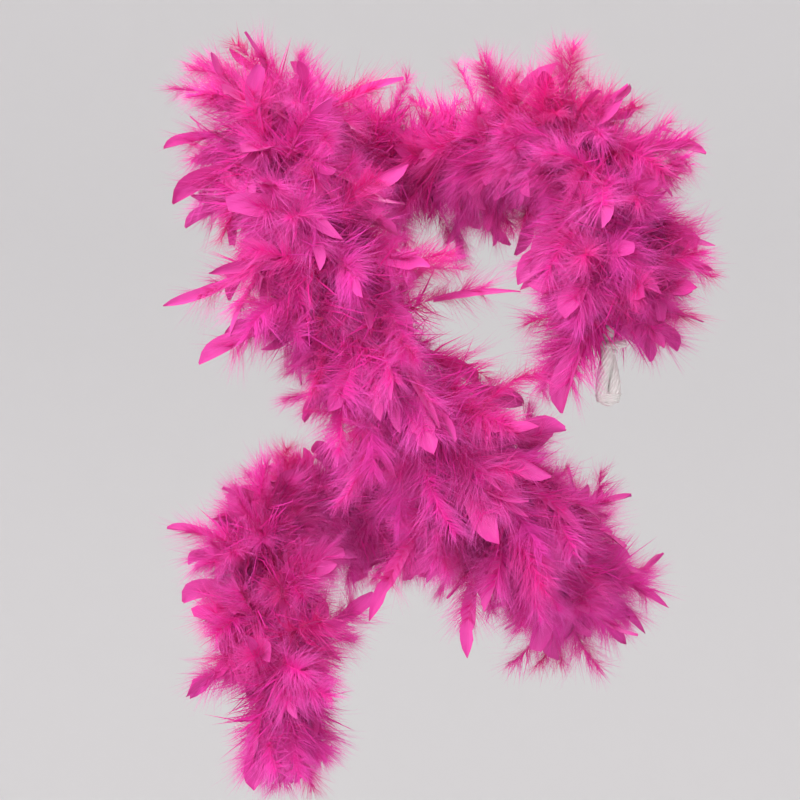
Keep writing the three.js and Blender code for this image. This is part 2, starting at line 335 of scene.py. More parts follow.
class Pattern:
    """A node group made node by node, with the two coordinates of the pieces' map at hand."""

    def __init__(self, name, inputs, outputs):
        self.tree = bpy.data.node_groups.new(name, "ShaderNodeTree")
        for label, colour in inputs.items():
            socket = self.tree.interface.new_socket(label, in_out="INPUT", socket_type=COLOUR)
            socket.default_value = colour
        for label, kind in outputs.items():
            self.tree.interface.new_socket(label, in_out="OUTPUT", socket_type=kind)
        self.given = self.tree.nodes.new("NodeGroupInput").outputs
        self.result = self.tree.nodes.new("NodeGroupOutput").inputs
        place = self.tree.nodes.new("ShaderNodeUVMap")
        place.uv_map = "OFBake"
        split = self.tree.nodes.new("ShaderNodeSeparateXYZ")
        self.put(place.outputs["UV"], split.inputs["Vector"])
        self.along, self.tone = split.outputs["X"], split.outputs["Y"]

    def put(self, value, socket):
        """Set a socket to a number or colour, or link it."""
        if isinstance(value, (int, float, tuple)):
            socket.default_value = value
        else:
            self.tree.links.new(value, socket)

    def calc(self, operation, *values):
        node = self.tree.nodes.new("ShaderNodeMath")
        node.operation = operation
        for value, socket in zip(values, node.inputs):
            self.put(value, socket)
        return node.outputs["Value"]

    def stripes(self, turns_along, turns_across):
        """Fine ridges, 0 to 1, at a slant over the map."""
        across = self.calc("MULTIPLY", self.tone, turns_across * 2 * math.pi)
        slant = self.calc("MULTIPLY_ADD", self.along, turns_along * 2 * math.pi, across)
        return self.calc("MULTIPLY_ADD", self.calc("SINE", slant), 0.5, 0.5)

    def fibres(self, scale_along, scale_across, detail=2.0):
        """Soft irregular streaks, 0 to 1, drawn out along the map's first direction."""
        vector = self.tree.nodes.new("ShaderNodeCombineXYZ")
        self.put(self.calc("MULTIPLY", self.along, scale_along), vector.inputs["X"])
        self.put(self.calc("MULTIPLY", self.tone, scale_across), vector.inputs["Y"])
        noise = self.tree.nodes.new("ShaderNodeTexNoise")
        noise.inputs["Scale"].default_value = 1.0
        noise.inputs["Detail"].default_value = detail
        self.put(vector.outputs["Vector"], noise.inputs["Vector"])
        return noise.outputs["Fac"]

    def mix(self, a, b, share):
        node = self.tree.nodes.new("ShaderNodeMix")
        node.data_type = "RGBA"
        for socket, value in (("Factor", share), ("A", a), ("B", b)):
            self.put(value, enabled(node.inputs, socket))
        return enabled(node.outputs, "Result")

    def ramp(self, value, stops):
        """A smooth step: from the first stop to the second, the result goes from the third to the last."""
        node = self.tree.nodes.new("ShaderNodeMapRange")
        node.interpolation_type = "SMOOTHSTEP"
        for socket, number in zip(("From Min", "From Max", "To Min", "To Max"), stops):
            node.inputs[socket].default_value = number
        self.put(value, node.inputs["Value"])
        return node.outputs["Result"]


def enabled(sockets, name):
    """The socket of that name that a Mix node uses for its kind of data."""
    return next(s for s in sockets if s.name == name and s.enabled)


# %% The dye, with painted shade at the roots of the barbs and a painted highlight at their tips
DYE_AND_PAINTED_LIGHT = {
    "Root": (0.84, 0.006, 0.20, 1),
    "Middle": (0.88, 0.030, 0.42, 1),
    "Tip": (0.90, 0.16, 0.62, 1),
    "Cool": (0.86, 0.06, 0.50, 1),
}
dye_and_painted_light = Pattern("boa_dye_and_painted_light", DYE_AND_PAINTED_LIGHT, {"Color": COLOUR})
# Painted shade, partly dye: each barb starts in the deep Root colour and turns to Middle along it.
root_painted_shade = dye_and_painted_light.mix(dye_and_painted_light.given["Root"], dye_and_painted_light.given["Middle"], dye_and_painted_light.ramp(dye_and_painted_light.along, (0.0, 0.2, 0, 1)))
# Painted highlight, partly dye: towards the tip of a barb the colour turns to the pale, cool Tip colour.
tip_painted_highlight = dye_and_painted_light.mix(root_painted_shade, dye_and_painted_light.given["Tip"], dye_and_painted_light.ramp(dye_and_painted_light.along, (0.15, 0.46, 0, 0.9)))
toned = dye_and_painted_light.mix(tip_painted_highlight, dye_and_painted_light.given["Cool"], dye_and_painted_light.ramp(dye_and_painted_light.tone, (0.45, 1.0, 0, 0.8)))
warm = dye_and_painted_light.mix(toned, dye_and_painted_light.given["Root"], dye_and_painted_light.ramp(dye_and_painted_light.tone, (0.35, 0.0, 0, 0.45)))
uneven = dye_and_painted_light.mix(warm, dye_and_painted_light.given["Root"], dye_and_painted_light.ramp(dye_and_painted_light.fibres(7, 90), (0.5, 0.75, 0, 0.35)))
dye_and_painted_light.put(uneven, dye_and_painted_light.result["Color"])

# %% [markdown]
# A vane's barbs lie side by side in fine slanting lines, and cotton yarn shows its plies and loose
# fibres. A picture of either would show its seams; ridges worked out from the map run along every vane
# and yarn. Each group gives a height for the bump and a mask for the colour.

# %% The barb lines of a vane, and the fibres of cotton
vane_lines = Pattern("vane_barb_lines", {}, {"Height": NUMBER, "Mask": NUMBER})
loose = vane_lines.calc("MULTIPLY", vane_lines.fibres(160, 200), 0.3)
barb_lines = vane_lines.calc("MULTIPLY_ADD", vane_lines.stripes(130, -370), 0.7, loose)
vane_lines.put(barb_lines, vane_lines.result["Height"])
worn = vane_lines.calc("MULTIPLY", vane_lines.fibres(16, 60), barb_lines)
vane_lines.put(worn, vane_lines.result["Mask"])

yarn = Pattern("cotton_yarn", {}, {"Height": NUMBER, "Mask": NUMBER})
fuzz = yarn.calc("MULTIPLY", yarn.fibres(260, 6, 4.0), 0.4)
plies = yarn.calc("MULTIPLY_ADD", yarn.stripes(34, 1), 0.6, fuzz)
yarn.put(plies, yarn.result["Height"])
# The grooves between the plies are painted darker as shade; the fibres add some uneven tone.
painted_groove_shade = yarn.calc("MULTIPLY", plies, 0.6)
yarn.put(yarn.calc("MULTIPLY_ADD", yarn.fibres(40, 3), 0.4, painted_groove_shade), yarn.result["Mask"])
print("node groups", [group.name for group in bpy.data.node_groups])


# %% [markdown]
# Down, vanes, quills and cotton are four finishes. Down is matt, with a sheen where light grazes its
# fibres. A vane is smoother and a quill is nearly glossy, so their roughness falls in that order, and
# cotton is chalky white. All are plain Principled materials with the dye and its painted shade and
# highlight put in, or a pattern, which on cotton paints shade into the grooves between the plies.

# %% The materials of the feathers
SPECULAR = 0.16
SHEEN_ROUGHNESS = 0.4


def soft_material(name, roughness, sheen, sheen_tint):
    material = bpy.data.materials.new(name)
    material.use_nodes = True
    shader = material.node_tree.nodes["Principled BSDF"]
    shader.inputs["Roughness"].default_value = roughness
    shader.inputs["Specular IOR Level"].default_value = SPECULAR
    shader.inputs["Sheen Weight"].default_value = sheen
    shader.inputs["Sheen Roughness"].default_value = SHEEN_ROUGHNESS
    shader.inputs["Sheen Tint"].default_value = sheen_tint
    return material, shader


def dye_and_painted_light_material(name, roughness, sheen, colours):
    """A feather's material: the dyed colour with its painted shade and highlight, with some of its colours
    changed.
    """
    material, shader = soft_material(name, roughness, sheen, (1.0, 0.5, 0.7, 1))
    dye_and_painted_light_node = material.node_tree.nodes.new("ShaderNodeGroup")
    dye_and_painted_light_node.node_tree = dye_and_painted_light.tree
    for label, colour in colours.items():
        dye_and_painted_light_node.inputs[label].default_value = colour
    material.node_tree.links.new(dye_and_painted_light_node.outputs["Color"], shader.inputs["Base Color"])
    return material, shader


# Down, vanes and quills all carry the painted shade at the roots and the painted highlight at the tips.
down_material, _ = dye_and_painted_light_material("pink_down", 0.75, 0.12, {})
vane_material, vane_shader = dye_and_painted_light_material(
    "pink_vane",
    0.45,
    0.10,
    {
        "Root": (0.70, 0.014, 0.27, 1),
        "Middle": (0.73, 0.045, 0.35, 1),
        "Tip": (0.75, 0.075, 0.40, 1),
        "Cool": (0.72, 0.062, 0.38, 1),
    },
)
quill_material, _ = dye_and_painted_light_material(
    "pink_quill",
    0.35,
    0.0,
    {"Root": (0.72, 0.03, 0.3, 1), "Middle": (0.80, 0.06, 0.38, 1), "Tip": (0.84, 0.10, 0.45, 1)},
)
cotton_material, cotton_shader = soft_material("white_cotton", 0.88, 0.35, (1, 0.97, 0.95, 1))


def pattern_on(material, shader, pattern, strength, distance):
    """Adds a pattern to a material as a bump. Returns the node that mixes two colours by its mask."""
    tree = material.node_tree
    group = tree.nodes.new("ShaderNodeGroup")
    group.node_tree = pattern.tree
    bump = tree.nodes.new("ShaderNodeBump")
    bump.inputs["Strength"].default_value = strength
    bump.inputs["Distance"].default_value = distance
    tree.links.new(group.outputs["Height"], bump.inputs["Height"])
    tree.links.new(bump.outputs["Normal"], shader.inputs["Normal"])
    shade = tree.nodes.new("ShaderNodeMix")
    shade.data_type = "RGBA"
    tree.links.new(group.outputs["Mask"], enabled(shade.inputs, "Factor"))
    return shade


# Cotton goes from a darker tone, painted shade in the grooves between its plies and partly uneven fibres,
# to a bright white, and a vane is paler where its barbs are worn.
shade = pattern_on(cotton_material, cotton_shader, yarn, 0.6, 0.0004)
# A is the painted shade in the grooves between the plies, and darker fibres; B is the cotton's white.
enabled(shade.inputs, "A").default_value = (0.70, 0.67, 0.65, 1)
enabled(shade.inputs, "B").default_value = (0.93, 0.92, 0.90, 1)
cotton_material.node_tree.links.new(enabled(shade.outputs, "Result"), cotton_shader.inputs["Base Color"])

shade = pattern_on(vane_material, vane_shader, vane_lines, 0.25, 0.0002)
shade.blend_type = "MULTIPLY"
dye_and_painted_light_colour = vane_shader.inputs["Base Color"].links[0].from_socket
vane_material.node_tree.links.new(dye_and_painted_light_colour, enabled(shade.inputs, "A"))
enabled(shade.inputs, "B").default_value = (0.80, 0.55, 0.72, 1)
vane_material.node_tree.links.new(enabled(shade.outputs, "Result"), vane_shader.inputs["Base Color"])
print("materials", [m.name for m in bpy.data.materials])

# %% [markdown]
# ## The core cord
# Two plies of soft cotton are laid round each other. A cord could be one round bar with a rope pattern
# on it, but its outline shows at the ends of the boa. So each ply is a round yarn of its own that winds
# round the route. The plies are computed, because a spiral along a curved route can't be spun.

# %% A two-ply cord between two distances
CORD_DIAMETER = 0.008
PLY_RADIUS = 0.0021
PLY_PITCH = 0.016
PLY_STEPS, PLY_SIDES = 6, 6


def two_ply(start, end):
    """Points, faces and map of the cord between two distances from the front knot."""
    run = np.linspace(start, end, int((end - start) / PLY_PITCH * PLY_STEPS))
    middle = on_route(run, LINE)
    across, side = on_route(run, ACROSS), on_route(run, SIDE)
    plies = []
    for half_turn in (0, math.pi):
        angle = (2 * math.pi * run / PLY_PITCH + half_turn)[:, None]
        way_out = across * np.cos(angle) + side * np.sin(angle)
        line = middle + (CORD_DIAMETER / 2 - PLY_RADIUS) * way_out
        plies.append(tube_arrays(line, PLY_RADIUS, PLY_SIDES))
    return joined(plies)


print("turns of the plies", round(LENGTH / PLY_PITCH))

# %% [markdown]
# ## The end loops
# At each end the cord is doubled back into a loop and tied. The loop is soft cotton wound of several
# strands, thicker than the cord. A single thick tube would look like rubber, so it is made as a bundle
# of yarns that turn slowly round each other along a drop-shaped route.

# %% A bundle of yarns along a line
YARN_SIDES = 8
SPAN_STEPS = 12


def wound_yarns(line, strands, yarn, spread, pitch):
    """Round yarns in a ring about a line, which go once round it in every pitch."""
    _, across, side = carried_frame(line)
    run = run_of(line)
    parts = []
    for k in range(strands):
        angle = (2 * math.pi * (run / pitch + k / strands))[:, None]
        way_out = across * np.cos(angle) + side * np.sin(angle)
        parts.append(tube_arrays(line + spread * way_out, yarn, YARN_SIDES))
    return joined(parts)


def resampled(points, count):
    """A smooth line through the points, as `count` points evenly spaced along it."""
    line = smooth_line(np.array(points, dtype=float), SPAN_STEPS)
    run = run_of(line)
    at = np.linspace(0, run[-1], count)
    return np.stack([np.interp(at, run, line[:, k]) for k in range(3)], axis=1)


# %% The loop, with a thin yarn wound round the bottom of both its legs
HANK_STRANDS, HANK_YARN, HANK_SPREAD, HANK_PITCH = 9, 0.0017, 0.0043, 0.075
HANK_THICKNESS = HANK_SPREAD + HANK_YARN
HANK_TWIST, TWIST_EASE = math.radians(95), 1.3
WIDEST = 0.90
# How far down a leg each point is, as a share of the drop, and its share of a leg's reach sideways.
LEG_SHAPE = ((0.02, 0.40), (0.18, 0.75), (0.40, 0.86), (0.62, WIDEST), (0.82, 0.86), (0.96, 0.55))
WRAP_YARN, WRAP_TURNS, WRAP_STEPS = 0.0008, 5, 12
WRAP_FOOT, WRAP_HEIGHT = 0.0040, 0.0075
WRAP_NARROW, WRAP_WIDE, WRAP_DEEP = 0.80, 0.96, 1.02


def end_loop(name, knot, width, drop):
    """A closed hank below a knot: two thick legs, turned round each other, that meet at the bottom."""
    leg = width / 4
    bottom = drop - HANK_THICKNESS
    half = []
    for down, apart in LEG_SHAPE:
        turn = HANK_TWIST * (1 - down) ** TWIST_EASE
        half.append((leg * apart * math.cos(turn), leg * apart * math.sin(turn), -down * bottom))
    half = np.array(half)
    route = [*(knot + half * (-1, -1, 1)), knot - (0, 0, bottom), *(knot + half)[::-1]]
    hank = wound_yarns(resampled(route, 80), HANK_STRANDS, HANK_YARN, HANK_SPREAD, HANK_PITCH)

    wrap = []
    for step in range(WRAP_STEPS * WRAP_TURNS + 1):
        turn, up = 2 * math.pi * step / WRAP_STEPS, step / (WRAP_STEPS * WRAP_TURNS)
        wide = (WRAP_NARROW + (WRAP_WIDE - WRAP_NARROW) * up) * (leg * WIDEST + HANK_THICKNESS)
        deep = WRAP_DEEP * HANK_THICKNESS
        height = WRAP_FOOT + WRAP_HEIGHT * up - drop
        wrap.append(knot + (wide * math.cos(turn), deep * math.sin(turn), height))
    wrapped = tube_arrays(resampled(wrap, 120), WRAP_YARN, PLY_SIDES)
    return mesh_piece(name, *joined([hank, wrapped]), [cotton_material])


# %% [markdown]
# The knot is the cord itself, wound not quite two and a half times round its own neck, and beside it the
# cut end of the cord stands out a little way. A torus could stand for the knot, but the turns of a real
# one lie askew and cross, so both are bundles of yarns along routes of their own.

# %% The knot and the cut end
KNOT_STRANDS, KNOT_YARN, KNOT_SPREAD, KNOT_PITCH = 4, 0.0015, 0.0018, 0.024
KNOT_TURNS, KNOT_START = 2.4, 0.6
KNOT_RADIUS, KNOT_BULGE = 0.0050, 0.0005
KNOT_TOP, KNOT_HEIGHT, KNOT_TILT = 0.0060, 0.0130, 0.0020
STUB_STRANDS, STUB_YARN, STUB_SPREAD, STUB_PITCH = 5, 0.0014, 0.0022, 0.03
STUB_START, STUB_COVERED, STUB_SAG = 0.004, 0.009, 0.14


def end_knot(name, knot):
    """The turns of the cord round its neck, wound from the top down."""
    turns = np.linspace(0, KNOT_TURNS * 2 * math.pi, 15)
    wide = KNOT_RADIUS + KNOT_BULGE * np.sin(2 * turns)
    height = KNOT_TOP - KNOT_HEIGHT * turns / turns[-1] + KNOT_TILT * np.cos(turns)
    around = turns + KNOT_START
    route = knot + np.stack([wide * np.cos(around), KNOT_RADIUS * np.sin(around), height], axis=1)
    arrays = wound_yarns(resampled(route, 90), KNOT_STRANDS, KNOT_YARN, KNOT_SPREAD, KNOT_PITCH)
    return mesh_piece(name, *arrays, [cotton_material])


def cut_end(name, knot, way, length):
    """The short end of the cord beside the knot. It sags towards its cut."""
    out = np.linspace(0, 1, 6)[:, None]
    reach = STUB_START + (STUB_COVERED + length - STUB_START) * out
    route = knot + unit(np.array(way)) * reach + STUB_SAG * length * DOWN * out**2
    arrays = wound_yarns(resampled(route, 26), STUB_STRANDS, STUB_YARN, STUB_SPREAD, STUB_PITCH)
    return mesh_piece(name, *arrays, [cotton_material])


# %% Both ends
LOOP_UNDER_KNOT = 0.005


def middle_of(node):
    """The middle of a CAD node's box."""
    low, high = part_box(node)
    return (np.array(low) + np.array(high)) / 2


for end, body, loop_body, way, length in (
    ("front", "front_tail", "front_end_loop", (0.94, 0, 0.34), 0.008),
    ("rear", "hip_tail", "rear_end_loop", (-0.99, 0, 0.06), 0.032),
):
    knot = middle_of(f"{end}_knot")
    low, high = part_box(f"{end}_loop")
    loop = end_loop(f"{end}_cotton_loop", knot, high[0] - low[0], knot[2] - low[2] - LOOP_UNDER_KNOT)
    tied = end_knot(f"{end}_cotton_knot", knot)
    stub = cut_end(f"{end}_cotton_cut_end", knot, way, length)
    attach(loop, loop_body)
    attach(tied, body)
    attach(stub, body)
    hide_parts(f"{end}_loop")
    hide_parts(f"{end}_knot")
    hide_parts(f"{end}_cut_end")
    frame["nodes"][f"{end}_whipping"].data.materials.clear()
    frame["nodes"][f"{end}_whipping"].data.materials.append(cotton_material)
    print(end, "end:", [piece.name for piece in (loop, tied, stub)])

# %% [markdown]
# ## The stretches of the cord
# The cord is made as three pieces: the long drape, and one for each tail, which runs on through the
# bend where the tail leaves the drape. They come after the ends.

# %% The three stretches of the core cord
KNOT_CLEAR = 0.008
PATH_POINTS = 60
front_cut, rear_cut = SHOULDER_BEND + HALF_BEND, HIP_BEND - HALF_BEND


def cord_piece(name, start, end, exit_at):
    """One stretch of the cord, between two distances from the front knot."""
    piece = mesh_piece(name, *two_ply(start, end), [cotton_material])
    path = on_route(np.linspace(start, end, PATH_POINTS), LINE)
    if exit_at == end:
        path = path[::-1]
    return piece


front_cord = cord_piece(
    "core_cord_front_tail", KNOT_CLEAR, front_cut, front_cut
)
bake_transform(front_cord)
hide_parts("core_front_tail", "core_shoulder_bend")
drape_cord = cord_piece("core_cord_drape", front_cut, rear_cut, front_cut)
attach(drape_cord, "drape")
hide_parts("core_drape")
rear_cord = cord_piece(
    "core_cord_hip_tail", rear_cut, LENGTH - KNOT_CLEAR, rear_cut
)
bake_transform(rear_cord)
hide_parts("core_hip_tail", "core_hip_bend")
print("cord pieces cut at", round(front_cut, 3), "and", round(rear_cut, 3), "m")

# %% [markdown]
# ## The vane of one feather
# The tip of about half of the feathers is a flat vane. It starts as a flat grid as long as it is wide,
# in unit size. Its rows are scaled in edit mode to the outline of the vane, and its side columns are
# lifted to give it the shallow trough that a real vane has. Six outlines are made: a pointed shard, two
# half vanes with the quill near one edge, one cut nearly square, a narrow blade, and one whose edges are
# broken.

# %% The outlines
VANE_ROWS, VANE_COLUMNS = 8, 4
# Half widths to the left and right of the quill, from the root of the vane to its tip.
VANE_OUTLINES = {
    "shard": (
        (0.70, 0.88, 1.02, 1.12, 1.18, 1.16, 1.05, 0.78, 0.10),
        (0.60, 0.72, 0.84, 0.92, 0.94, 0.86, 0.66, 0.36, 0.02),
    ),
    "half_left": (
        (0.80, 1.10, 1.38, 1.60, 1.72, 1.74, 1.60, 1.15, 0.25),
        (0.22, 0.22, 0.22, 0.21, 0.20, 0.17, 0.13, 0.08, 0.01),
    ),
    "half_right": (
        (0.20, 0.22, 0.22, 0.22, 0.21, 0.20, 0.16, 0.10, 0.01),
        (0.70, 0.98, 1.22, 1.42, 1.56, 1.64, 1.54, 1.12, 0.28),
    ),
    "cut": (
        (0.75, 0.88, 1.00, 1.08, 1.15, 1.20, 1.25, 1.28, 1.05),
        (0.65, 0.78, 0.90, 1.00, 1.08, 1.12, 0.95, 0.62, 0.22),
    ),
    "blade": (
        (0.50, 0.62, 0.72, 0.78, 0.80, 0.78, 0.70, 0.48, 0.04),
        (0.50, 0.60, 0.68, 0.74, 0.76, 0.72, 0.60, 0.38, 0.02),
    ),
    "broken": (
        (0.75, 0.95, 1.12, 1.28, 0.85, 1.14, 1.02, 0.70, 0.08),
        (0.65, 0.80, 0.92, 1.00, 1.05, 0.66, 0.84, 0.52, 0.02),
    ),
}
print("vane outlines", list(VANE_OUTLINES))

# %% The master vanes
TROUGH = 0.10


def select_points(thing, chosen):
    """In edit mode, select the points for which `chosen` says so, and no others."""
    bpy.ops.mesh.select_all(action="DESELECT")
    bpy.ops.object.mode_set(mode="OBJECT")
    for point, wanted in zip(thing.data.vertices, chosen):
        point.select = wanted
    bpy.ops.object.mode_set(mode="EDIT")


def vane_master(name, left, right):
    """Points and faces of one vane, a unit long, with its quill along X."""
    bpy.ops.mesh.primitive_grid_add(
        x_subdivisions=VANE_ROWS, y_subdivisions=VANE_COLUMNS, size=1.0, location=(0, 0, 0)
    )
    master = bpy.context.object
    master.name = f"master_vane_{name}"
    rows = [round((v.co.x + 0.5) * VANE_ROWS) for v in master.data.vertices]
    columns = [round(v.co.y * VANE_COLUMNS) for v in master.data.vertices]
    bpy.ops.object.mode_set(mode="EDIT")
    bpy.ops.mesh.select_mode(type="VERT")
    for row in range(VANE_ROWS + 1):
        for sign, widths in ((1, left), (-1, right)):
            select_points(master, [r == row and c * sign > 0 for r, c in zip(rows, columns)])
            bpy.ops.transform.resize(
                value=(1, 2 * widths[row], 1), center_override=(row / VANE_ROWS - 0.5, 0, 0)
            )
    for column in (1, 2):
        select_points(master, [abs(c) == column for c in columns])
        bpy.ops.transform.translate(value=(0, 0, TROUGH * column**1.5))
    bpy.ops.object.mode_set(mode="OBJECT")
    points = np.array([v.co for v in master.data.vertices])
    points[:, 0] += 0.5
    faces = np.array([list(p.vertices) for p in master.data.polygons])
    bpy.data.objects.remove(master, do_unlink=True)
    return points, faces


VANES = [vane_master(name, *outline) for name, outline in VANE_OUTLINES.items()]
print("vane masters", len(VANES), "of", len(VANES[0][1]), "faces")

# %% [markdown]
# ## Laying out the feathers
# Feathers follow each other along the cord, each turned by the golden angle from the one before, as when
# they are tied on one by one while the cord is turned. Placing a thousand by hand would take days, and a
# particle system would copy one shape, so their places and directions are arrays with one row to a
# feather. The chance in them comes from one seeded generator.

# %% Where each feather is tied, and how long it is
rng = np.random.default_rng(7)
FEATHER_PITCH = 0.0019
FIRST_FEATHER, LAST_FEATHER = 0.016, LENGTH - 0.012
GOLDEN_ANGLE, TURN_SPREAD = math.radians(137.5), 0.25
VANED_SHARE = 0.54
VANED_LENGTH = (0.094, 0.126)
DOWNY_LENGTH = (0.092, 0.126)
PRESSED_SHORT = 0.36
# A share of a feather's length at some distances along the cord: less where the boa clings to the hip.
FULLNESS = (
    (0, 0.06, 0.12, 0.36, 0.50, 0.64, 1.10, 1.30, 1.55, 1.70, 1.80, 1.90, 1.99),
    (0.68, 0.76, 0.90, 0.98, 0.82, 1.05, 1.05, 0.86, 0.80, 0.68, 0.66, 0.88, 0.97),
)
# Most feathers lean to the nearer free end, which changes at the nape, and some the other way.
NAPE = nearest_run((0.0, 0.09, -0.04))
LEAN_LEAST, LEAN_GAIN, LEAN_CHANGE = 0.18, 0.64, 0.08

count = int((LAST_FEATHER - FIRST_FEATHER) / FEATHER_PITCH)
spot = FIRST_FEATHER + FEATHER_PITCH * (np.arange(count) + rng.uniform(-0.5, 0.5, count))
spot = np.clip(spot, FIRST_FEATHER, LAST_FEATHER)
turn = (GOLDEN_ANGLE * np.arange(count) + rng.normal(0, TURN_SPREAD, count))[:, None]
centre, way = on_route(spot, LINE), unit(on_route(spot, ALONG))
lean_chance = LEAN_LEAST + LEAN_GAIN / (1 + np.exp(-(spot - NAPE) / LEAN_CHANGE))
to_end = np.where(rng.random(count) < lean_chance, 1.0, -1.0)[:, None] * way
radial = unit(on_route(spot, ACROSS) * np.cos(turn) + on_route(spot, SIDE) * np.sin(turn))
has_vane = rng.random(count) < VANED_SHARE
length = np.where(has_vane, rng.uniform(*VANED_LENGTH, count), rng.uniform(*DOWNY_LENGTH, count))
to_wearer = unit(np.stack([-centre[:, 0], -centre[:, 1], np.zeros(count)], axis=1))
pressed = np.clip((radial * to_wearer).sum(axis=1), 0, 1)
length *= 1 - PRESSED_SHORT * pressed
length *= np.interp(spot, *FULLNESS)
print("feathers", count, "with a vane", int(has_vane.sum()))

# %% [markdown]
# A feather leaves the cord outward, then bends over and lies along the outside of the boa: mostly down,
# partly to the nearer end of the boa. Where the wearer's body is, it lies flatter. At the front end the
# feathers part so that the loop hangs free, and at the rear end they hang over it.

# %% How each feather starts and bends
PARTED, HANGING = 0.07, 0.07
TO_VIEWER = np.array((0, -1.0, 0.25))
AWAY_FROM_LOOP = np.array((1.0, 0, 0))
BEHIND_LOOP = np.array((0, 0.6, 0))
START_LEAN, START_SPREAD = (0.25, 1.25), 0.2
HANGING_LEAN, LOOP_LIFT, PARTED_LIFT = 0.5, 1.5, 0.9
# How strongly each direction pulls at the bend.
HANG, TRAIL, PART, ASIDE, SPREAD, CLING = 0.75, 0.45, 1.6, 0.8, 0.3, 0.9
BEND_FROM, BEND_UNTIL = (-8, 28), (15, 92)
FACE_VIEWER, FACE_SPREAD = 0.35, 0.35


def square_to(direction, v):
    """The part of v that is square to direction, as a unit vector."""
    return unit(v - direction * (v * direction).sum(axis=-1, keepdims=True))


parted = np.exp(-((spot / PARTED) ** 2))[:, None]
hanging = np.exp(-(((LENGTH - spot) / HANGING) ** 2))[:, None]
start_lean = rng.uniform(*START_LEAN, count)[:, None] * (1 - parted) * (1 + HANGING_LEAN * hanging)
before_loop = parted * np.clip(-radial[:, 1:2], 0, 1)
start_spread = rng.normal(0, START_SPREAD, (count, 3))
start_way = unit(radial + start_lean * to_end - LOOP_LIFT * before_loop * DOWN + start_spread)
bends_to = square_to(
    start_way,
    (HANG + hanging - PARTED_LIFT * parted) * DOWN
    + TRAIL * to_end * (1 - parted)
    + parted * (PART * np.sign(radial[:, :1]) * AWAY_FROM_LOOP + BEHIND_LOOP)
    + np.cross(way, radial) * rng.normal(0, ASIDE, count)[:, None]
    + rng.normal(0, SPREAD, (count, 3))
    - CLING * to_wearer * pressed[:, None],
)
bend_from = np.radians(rng.uniform(*BEND_FROM, count))
bend_until = np.radians(rng.uniform(*BEND_UNTIL, count))
faces_to = radial + FACE_VIEWER * TO_VIEWER + rng.normal(0, FACE_SPREAD, (count, 3))
print("bends", np.degrees([bend_from.min(), bend_until.max()]).round(), "degrees")

# %% [markdown]
# A few feathers stand out of the mass, as on every worn boa. Each is given by where on the cord it is
# tied, by the place of its tip, to the side and in height, and by how much it curls. The first column
# says whether it ends in a vane. Those without one are bunches of three.

# %% Stray feathers
STRAYS = (
    (True, 0.66, -0.226, -0.042, 5),
    (True, 0.84, -0.206, -0.190, -8),
    (True, 0.88, -0.170, -0.236, -6),
    (True, 0.91, -0.160, -0.222, 14),
    (False, 0.64, -0.198, 0.030, 30),
    (True, 0.72, -0.006, 0.002, 12),
    (True, 0.94, 0.104, -0.186, 22),
    (False, 0.90, 0.050, -0.160, 18),
    (True, 1.81, -0.218, -0.410, 10),
    (True, 1.16, 0.136, -0.316, 25),
    (True, 1.14, 0.056, -0.504, 8),
    (True, 1.32, 0.224, -0.506, 20),
    (True, 0.16, 0.268, -0.056, 30),
    (True, 0.10, 0.268, -0.137, 15),
    (True, 0.07, 0.272, -0.180, -5),
    (True, 0.06, 0.236, -0.228, 10),
    (True, 0.14, 0.112, -0.172, 16),
    (False, 0.28, 0.150, 0.062, -35),
    (False, 0.34, 0.078, 0.040, 20),
    (True, 0.05, 0.154, -0.284, 12),
    (False, 0.05, 0.140, -0.262, 15),
    (True, 1.10, -0.024, -0.468, 12),
    (True, 0.80, -0.142, -0.188, 14),
    (True, 0.81, -0.106, -0.190, -10),
    (True, 0.79, -0.078, -0.162, 16),
    (True, 0.83, 0.004, -0.160, 24),
    (True, 0.87, 0.006, -0.224, 18),
    (False, 0.82, -0.098, -0.176, 25),
    (False, 0.86, -0.052, -0.214, 24),
    (False, 0.90, -0.042, -0.252, 20),
    (False, 0.92, -0.078, -0.240, 22),
    (False, 0.94, 0.000, -0.258, 26),
    (False, 0.97, -0.012, -0.312, 20),
    (False, 1.02, 0.020, -0.352, 22),
    (True, 1.91, -0.030, -0.466, -14),
    (True, 1.955, -0.150, -0.640, 12),
    (False, 1.945, -0.076, -0.610, 16),
)
BUNCH = 3
STRAY_TIP_SPREAD, STRAY_FACE_SPREAD = 0.004, 0.25
BEFORE_THE_CORD = 0.020
STRAY_ARC = 1.04  # the length of a curled feather to the straight way to its tip
STRAYS = [stray for stray in STRAYS for _ in range(1 if stray[0] else BUNCH)]
extra = len(STRAYS)
tips = np.array([(x, 0.0, z) for _, _, x, z, _ in STRAYS])
tips += rng.normal(0, STRAY_TIP_SPREAD, (extra, 3))
tied_at = np.array([along_cord for _, along_cord, *_ in STRAYS])
root = on_route(tied_at, LINE)
tips[:, 1] += root[:, 1] - BEFORE_THE_CORD
straight = tips - root
curl = np.radians([bend for *_, bend in STRAYS])

spot = np.append(spot, tied_at)
centre = np.append(centre, root, axis=0)
cord_way = np.append(way, unit(on_route(tied_at, ALONG)), axis=0)
radial = np.append(radial, unit(straight), axis=0)
has_vane = np.append(has_vane, [vaned for vaned, *_ in STRAYS])
length = np.append(length, STRAY_ARC * np.linalg.norm(straight, axis=1))
start_way = np.append(start_way, unit(straight), axis=0)
bends_to = np.append(bends_to, square_to(unit(straight), DOWN), axis=0)
bend_from = np.append(bend_from, -curl)
bend_until = np.append(bend_until, curl)
faces_to = np.append(faces_to, TO_VIEWER + rng.normal(0, STRAY_FACE_SPREAD, (extra, 3)), axis=0)
count += extra
print("stray feathers", extra)

